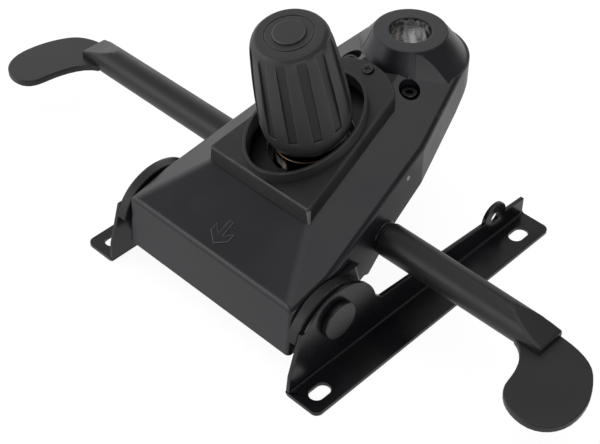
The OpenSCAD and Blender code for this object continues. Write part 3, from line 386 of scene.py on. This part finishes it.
turned_bore = smeared_bore("turned_bore", mouth=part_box("housing")[1].z, slant=0.6)
crest_round = 3 * mm
ridge_round = 3 * mm
ridge_len = 10 * mm
slope_top_y = -141 * mm
lip_round = 0.7 * mm
arrow_round = 0.35 * mm
bore_r = 14.3 * mm
socket_line = ((0, 0, 0), (0, 0, 1))
flank_in_r = 24 * mm
flank_out_r = 37 * mm
flank_foot = -21 * mm
hair_line = 0.6 * mm
knob_lean = math.radians(11.9)
knob_foot = Vector((0, -94.6 * mm, -30 * mm))
knob_up = Vector((0, -math.sin(knob_lean), math.cos(knob_lean)))
rear_clear_r = 41 * mm
well_clear_r = 29.8 * mm
shoulder_half = 36 * mm
front_band = 6 * mm
rear_y = 30 * mm
sill_z = -112 * mm
lip_band = 1 * mm
plane_area = 400 * mm * mm
housing_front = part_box("housing")[0].y
arrow_half = 9 * mm
arrow_start = housing_front + 3 * mm
arrow_end = housing_front + 28 * mm


def faces_down(edge):
    """Whether an edge belongs to the underside."""
    return min(f.normal.z for f in edge.link_faces) < -0.3


def on_arrow(edge):
    """The raised arrow's own short edges."""
    point = middle(edge)
    short = edge.calc_length() < 2.5 * arrow_half
    return short and abs(point.x) < arrow_half and arrow_start < point.y < arrow_end


def on_ridge(edge):
    """The two hips between the front slope and the shoulders."""
    steepest = min(f.normal.z for f in edge.link_faces)
    long = edge.calc_length() > ridge_len
    return 15 < bend(edge) < 30 and steepest > 0.7 and long and middle(edge).y < slope_top_y


def on_crest(edge):
    """Where the top turns down into the side walls and the front, clear of the cone and the spring well."""
    point = middle(edge)
    off_cone = off_line(point, *socket_line) > rear_clear_r
    off_well = off_line(point, knob_foot, knob_up) > well_clear_r
    outside = abs(point.x) > shoulder_half or point.y < housing_front + front_band or point.y > rear_y
    on_top = point.z > sill_z and not faces_down(edge) and not on_arrow(edge)
    return bend(edge) > 40 and off_cone and off_well and outside and on_top


def on_lip(edge):
    """The rim of the cone's top and the mouth of the bore."""
    return bend(edge) > 30 and middle(edge).z > -lip_band


def close_hair_line(bm):
    """Closes the fine step where the cone's round front meets its flared rear."""
    flank = [v for v in bm.verts if v.co.z > flank_foot and flank_in_r < v.co.xy.length < flank_out_r]
    bmesh.ops.remove_doubles(bm, verts=flank, dist=hair_line)


casting = welded("housing")
close_hair_line(casting)
for face in casting.faces:
    centre = face.calc_center_median()
    inward = face.normal.xy.dot(centre.xy) < 0
    face.material_index = int(inward and off_line(centre, *socket_line) < bore_r)
rounded(casting, crest_round, on_crest, steps=5)
rounded(casting, ridge_round, on_ridge, steps=4, wear_and_highlight_level=0.0)
rounded(casting, lip_round, on_lip)
# The arrow's rounds carry the highest mark, which paints them pale: a painted highlight.
rounded(casting, arrow_round, lambda edge: bend(edge) > 60 and on_arrow(edge), steps=2, wear_and_highlight_level=4.0)
settled(casting, "housing_casting", "housing", [casting_paint, turned_bore],
        flat_turn=17, flat_area=plane_area)

# Seat brackets, axle and spacers
# Two angles pressed from 3 mm steel, painted black, with slots for the seat's bolts. A steel axle with
# broad flat heads joins them through the housing, and plastic discs keep the sides apart.
bracket_paint = satin_paint("bracket_paint", level=0.0055, dull=0.24, peel=0.1, dust=0.3)
disc_plastic = satin_paint("disc_plastic", level=0.005, dull=0.45, peel=0.5, dust=0.4)
sheared_round = 0.5 * mm
fold_round = 3.5 * mm
fold_inner_round = 2.1 * mm
fold_len = 50 * mm
head_round = 0.9 * mm
disc_round = 0.8 * mm
near = 0.1 * mm
floor_z = cad_box[0].z
bracket_inner_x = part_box("right_bracket")[0].x


def is_sharp(edge):
    """An edge that a hand would feel as sharp."""
    return bend(edge) > 35


def on_fold(edge):
    """The outer edge where an angle is folded, down on the floor."""
    point = middle(edge)
    at_fold = abs(abs(point.x) - bracket_inner_x) < near and point.z < floor_z + near
    return bend(edge) > 60 and at_fold


def in_fold(edge):
    """The long inner corner of the fold."""
    return bend(edge) < -60 and edge.calc_length() > fold_len


for side in ("left", "right"):
    angle = welded(side + "_bracket")
    rounded(angle, fold_round, on_fold, steps=4, wear_and_highlight_level=0.0)
    rounded(angle, fold_inner_round, in_fold, steps=3, wear_and_highlight_level=0.0)
    rounded(angle, sheared_round, is_sharp, steps=2)
    settled(angle, side + "_seat_angle", side + "_bracket", [bracket_paint])

    head = welded(side + "_pivot_cap")
    rounded(head, head_round, is_sharp)
    settled(head, side + "_axle_head", side + "_pivot_cap", [bracket_paint])

    disc = welded(side + "_spacer")
    rounded(disc, disc_round, is_sharp)
    settled(disc, side + "_spacer_disc", side + "_spacer", [disc_plastic])

# Inner steelwork
# What the axle, springs and levers work on inside the housing: stampings and pins of bare steel,
# plated washers, and bearings of black plastic. It is seen only from below.


def dressed(material, *nodes):
    """Gives nodes whose shape is right as it stands their finish."""
    for node in nodes:
        mesh = frame["nodes"][node].data
        mesh.materials.clear()
        mesh.materials.append(material)


drawn_steel = bare_metal("drawn_steel", grey(0.42), grey(0.16), 0.38, 1.5 * mm, (0.1, 1, 1))
stamped_steel = bare_metal("stamped_steel", grey(0.36), grey(0.12), 0.42, 2.5 * mm)
plated_steel = bare_metal("plated_steel", (0.55, 0.5, 0.38, 1), (0.3, 0.26, 0.2, 1), 0.3, 2 * mm)
dressed(drawn_steel, "pivot_axle", "trunnion_pin", "rocker_pins", "left_rod", "right_rod", "lock_cam_pin",
        "release_cam_pin", "release_pin", "lock_sleeve", "left_circlip", "right_circlip")
dressed(stamped_steel, "spring_rocker", "lock_comb", "release_bracket", "lock_cam", "lock_latch",
        "release_cam", "release_finger", "release_arm")
dressed(plated_steel, "tension_bolt", "knob_nut", "spring_seat", "thrust_washer")
dressed(disc_plastic, "left_axle_bush", "right_axle_bush")
collar_round = 0.4 * mm
for side in ("left", "right"):
    collar = welded(side + "_lever_bush")
    rounded(collar, collar_round, is_sharp, steps=2)
    settled(collar, side + "_lever_collar", side + "_lever_bush", [disc_plastic])

# Springs
# The tilt spring is 5 mm wire wound round the tension bolt. It is shown in two lengths that meet on one
# coil. A light spring returns the height lever.
spring_steel = bare_metal("spring_steel", grey(0.1), grey(0.04), 0.35, 1.2 * mm)
wire_sides = 12
rings_per_turn = 28


def coil(name, frame_of_coil, radius, wire, length, turns, part):
    """Round wire wound as a helix along local z; part gives where it starts and ends, as shares."""
    rings = int(rings_per_turn * turns * (part[1] - part[0])) + 1
    bm = bmesh.new()
    loops = []
    for i in range(rings + 1):
        share = part[0] + (part[1] - part[0]) * i / rings
        turn = math.tau * turns * share
        out = Vector((math.cos(turn), math.sin(turn), 0))
        centre = out * radius + Vector((0, 0, wire + (length - 2 * wire) * share))
        loop = []
        for k in range(wire_sides):
            round_wire = math.tau * k / wire_sides
            spot = centre + wire * (math.cos(round_wire) * out + math.sin(round_wire) * Vector((0, 0, 1)))
            loop.append(bm.verts.new(frame_of_coil @ spot))
        loops.append(loop)
    for first, second in zip(loops, loops[1:]):
        for k in range(wire_sides):
            m = (k + 1) % wire_sides
            bm.faces.new((first[k], first[m], second[m], second[k]))
    bm.faces.new(loops[0])
    bm.faces.new(loops[-1])
    bmesh.ops.recalc_face_normals(bm, faces=bm.faces)
    for face in bm.faces:
        face.smooth = len(face.verts) == 4
    mesh = bpy.data.meshes.new(name)
    bm.to_mesh(mesh)
    bm.free()
    mesh.materials.append(spring_steel)
    piece = bpy.data.objects.new(name, mesh)
    scene.collection.objects.link(piece)
    return piece


knob_frame = Matrix.Translation(knob_foot) @ Matrix.Rotation(knob_lean, 4, "X")
spring_foot = -46 * mm
spring_len = 41 * mm
spring_split = 0.62
foot_frame = knob_frame @ Matrix.Translation((0, 0, spring_foot))
spring_r = 19 * mm
spring_wire_r = 2.5 * mm
spring_turns = 3.6
tilt_coil = (spring_r, spring_wire_r, spring_len, spring_turns)
lower_coil = coil("tilt_spring_lower", foot_frame, *tilt_coil, (0, spring_split))
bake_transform(lower_coil)
upper_coil = coil("tilt_spring_upper", foot_frame, *tilt_coil, (spring_split, 1))
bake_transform(upper_coil)
for piece in (lower_coil, upper_coil):
    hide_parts("main_spring")
return_low, return_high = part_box("release_spring")
return_foot = (return_low.x, -92.7 * mm, -80 * mm)
return_frame = Matrix.Translation(return_foot) @ Matrix.Rotation(math.pi / 2, 4, "Y")
return_len = return_high.x - return_low.x
return_r = 7.6 * mm
return_wire_r = 0.55 * mm
return_turns = 3
return_coil = coil("return_spring", return_frame, return_r, return_wire_r, return_len, return_turns, (0, 1))
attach(return_coil, "height_lever")
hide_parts("release_spring")

# Spring cup
# A cup deep-drawn from thin steel that holds the head of the tilt spring. It is oily and browned, and its
# rim shows under the knob.
oiled_steel = bare_metal("oiled_steel", (0.13, 0.085, 0.06, 1), (0.03, 0.02, 0.015, 1), 0.2, 5 * mm)
cup_round = 1.6 * mm
cup_hole_clear_r = 20 * mm


def cup_rim(edge):
    """The cup's outer edges."""
    return bend(edge) > 60 and off_line(middle(edge), knob_foot, knob_up) > cup_hole_clear_r


cup = welded("spring_cup")
rounded(cup, cup_round, cup_rim, steps=4)
settled(cup, "spring_head_cup", "spring_cup", [oiled_steel])

# Knob cover
# A moulded plastic hood over the spring well, with a tall oval ring round the knob. Its edges are rounded,
# rubbed and lit by a painted highlight that is brightest on the front corners, and one cross-head screw
# near the gas-lift socket holds it.


def moulded_plastic(name, level, dull, grain, rub_and_highlight_strength):
    """Black plastic out of a fine-grained mould: a little mottled, dusty, rubbed lighter on edges with a
    painted highlight there, pale with a painted highlight above a mark of 1.2, and with painted shade on
    flute floors."""
    material = bpy.data.materials.new(name)
    plastic = Shader(material)
    mottle = plastic.noise(30 * mm, 3.0)
    texture = plastic.noise(grain, 1.0)
    wear_and_highlight_level = plastic.node("ShaderNodeAttribute", {"attribute_name": "wear_and_highlight"}, {}, "Fac")
    rub_and_highlight = wear_and_highlight_level * plastic.noise(14 * mm, 2.0).spread(0.35, 0.65)
    speck = plastic.node("ShaderNodeTexVoronoi", {}, {"Vector": plastic.place(), "Scale": 1 / (10 * mm)})
    speck = speck.spread(0.02, 0.035, 1.0, 0.0) * plastic.noise(50 * mm, 1.0).spread(0.5, 0.6)
    tone = plastic.mix(mottle.spread(0.3, 0.7), grey(level * 0.92, 0.04), grey(level * 1.1, 0.06))
    # Rubbed wear on rounded edges, lightened further as a painted highlight.
    tone = plastic.mix(rub_and_highlight * rub_and_highlight_strength, tone, grey(level * 2.6))
    # A painted highlight: rounds marked above 1.2, the hood's front corners, turn pale grey.
    tone = plastic.mix(wear_and_highlight_level.spread(1.2, 2.0) * 0.8, tone, grey(0.2))
    # Painted shade: faces marked as flute floors turn much darker.
    painted_flute_shade = plastic.node("ShaderNodeAttribute", {"attribute_name": "painted_flute_shade"}, {}, "Fac")
    tone = plastic.mix(painted_flute_shade * 0.75, tone, grey(level * 0.2))
    tone = plastic.mix(speck * 0.4, tone, grey(0.3))
    rough = mottle.spread(0.3, 0.7, dull - 0.03, dull + 0.04) - rub_and_highlight * 0.06
    skin = plastic.node("ShaderNodeBump", {}, {"Strength": 0.25, "Distance": 0.04 * mm, "Height": texture})
    shell = plastic.node("ShaderNodeBsdfPrincipled", {}, {"Base Color": tone, "Roughness": rough,
                                                          "Normal": skin})
    plastic.node("ShaderNodeOutputMaterial", {}, {"Surface": shell})
    return material


cover_plastic = moulded_plastic("cover_plastic", level=0.021, dull=0.42, grain=0.5 * mm, rub_and_highlight_strength=0.5)
corner_round = 2.2 * mm
corner_len = 5 * mm
cover_front_y = -130 * mm
cover_round = 1.6 * mm
ring_round = 0.6 * mm
cover_top = Vector((0, -0.3, 1)).normalized()
ring_foot = Vector((0, -140.6 * mm, -40.4 * mm))
ring_h = 8.6 * mm
ring_band = 1 * mm


def lift(edge):
    """How far an edge lies above the hood's top."""
    return (middle(edge) - ring_foot).dot(cover_top)


def cover_corner(edge):
    """The two upright corners of the hood's front."""
    along = (edge.verts[1].co - edge.verts[0].co).normalized()
    upright = abs(along.z) > 0.95 and edge.calc_length() > corner_len
    return bend(edge) > 60 and upright and middle(edge).y < cover_front_y


def cover_edge(edge):
    """Where the hood's top turns down into its walls."""
    tops = [f.normal.dot(cover_top) > 0.98 for f in edge.link_faces]
    sides = [abs(f.normal.z) < 0.2 for f in edge.link_faces]
    return bend(edge) > 60 and any(tops) and any(sides) and lift(edge) < ring_h / 2


def ring_rim(edge):
    """Both edges of the oval ring's top."""
    return bend(edge) > 60 and abs(lift(edge) - ring_h) < ring_band


hood = welded("knob_cover")
# The front corners carry a mark above 1.2, which paints them pale: a painted highlight.
rounded(hood, corner_round, cover_corner, steps=4, wear_and_highlight_level=2.0)
rounded(hood, cover_round, cover_edge)
rounded(hood, ring_round, ring_rim, steps=2)
settled(hood, "knob_cover_hood", "knob_cover", [cover_plastic], flat_turn=24)

# Screws
# A cross-head screw in the cover and two socket screws deep in the pockets by the cone. They are of steel,
# cold-headed and blackened.
blackened = bare_metal("blackened", grey(0.09), grey(0.03), 0.34, 1 * mm)
screw_round = 0.25 * mm
for node, name in (("cover_screw", "cover_cross_screw"), ("socket_bolts", "pocket_screws")):
    screw = welded(node)
    rounded(screw, screw_round, is_sharp, steps=2)
    settled(screw, name, node, [blackened])

# Tension knob
# A hollow barrel in soft matt plastic with a plug in its end and a thin ring sunk round the plug. Its ribs
# are rubbed lighter with a painted highlight, and the floors of its flutes are darkened with painted shade.
# The knob's rib edges get strong rubbed lightening, partly a painted highlight.
knob_plastic = moulded_plastic("knob_plastic", level=0.029, dull=0.46, grain=0.35 * mm, rub_and_highlight_strength=0.9)
rib_round = 0.4 * mm
plug_round = 0.8 * mm
knob_inside_z = -20 * mm
flute_count = 12
flute_pitch = math.tau / flute_count
flute_half = 2.6 * mm
flute_area = 90 * mm * mm
knob_cap_r = 18 * mm
barrel = welded("tension_knob")
rounded(barrel, rib_round, lambda edge: bend(edge) > 28 and middle(edge).z > knob_inside_z, steps=2)
# Flute floors are marked for painted shade.
painted_flute_shade = barrel.faces.layers.float.new("painted_flute_shade")
for face in barrel.faces:
    spot = knob_frame.inverted() @ face.calc_center_median()
    turn = math.atan2(spot.y, spot.x) / flute_pitch
    aside = abs(turn - round(turn)) * flute_pitch * spot.xy.length
    is_floor = face.calc_area() > flute_area and spot.xy.length > knob_cap_r
    face[painted_flute_shade] = float(is_floor and aside < flute_half)
settled(barrel, "tension_knob_barrel", "tension_knob", [knob_plastic], flat_turn=28)
plug = welded("knob_cap")
rounded(plug, plug_round, is_sharp)
settled(plug, "knob_end_plug", "knob_cap", [knob_plastic])

# Lever handles
# Each handle is a round tube that is planed to a ramp, steps down and ends in a flat paddle turned to the
# front. The left one sets the tilt lock and the right one the seat's height.
handle_coat = moulded_plastic("handle_coat", level=0.0105, dull=0.38, grain=0.8 * mm, rub_and_highlight_strength=0.5)
handle_round = 1.1 * mm
for side in ("left", "right"):
    lever = welded(side + "_handle")
    rounded(lever, handle_round, is_sharp)
    settled(lever, side + "_lever_handle", side + "_handle", [handle_coat], flat_turn=24)
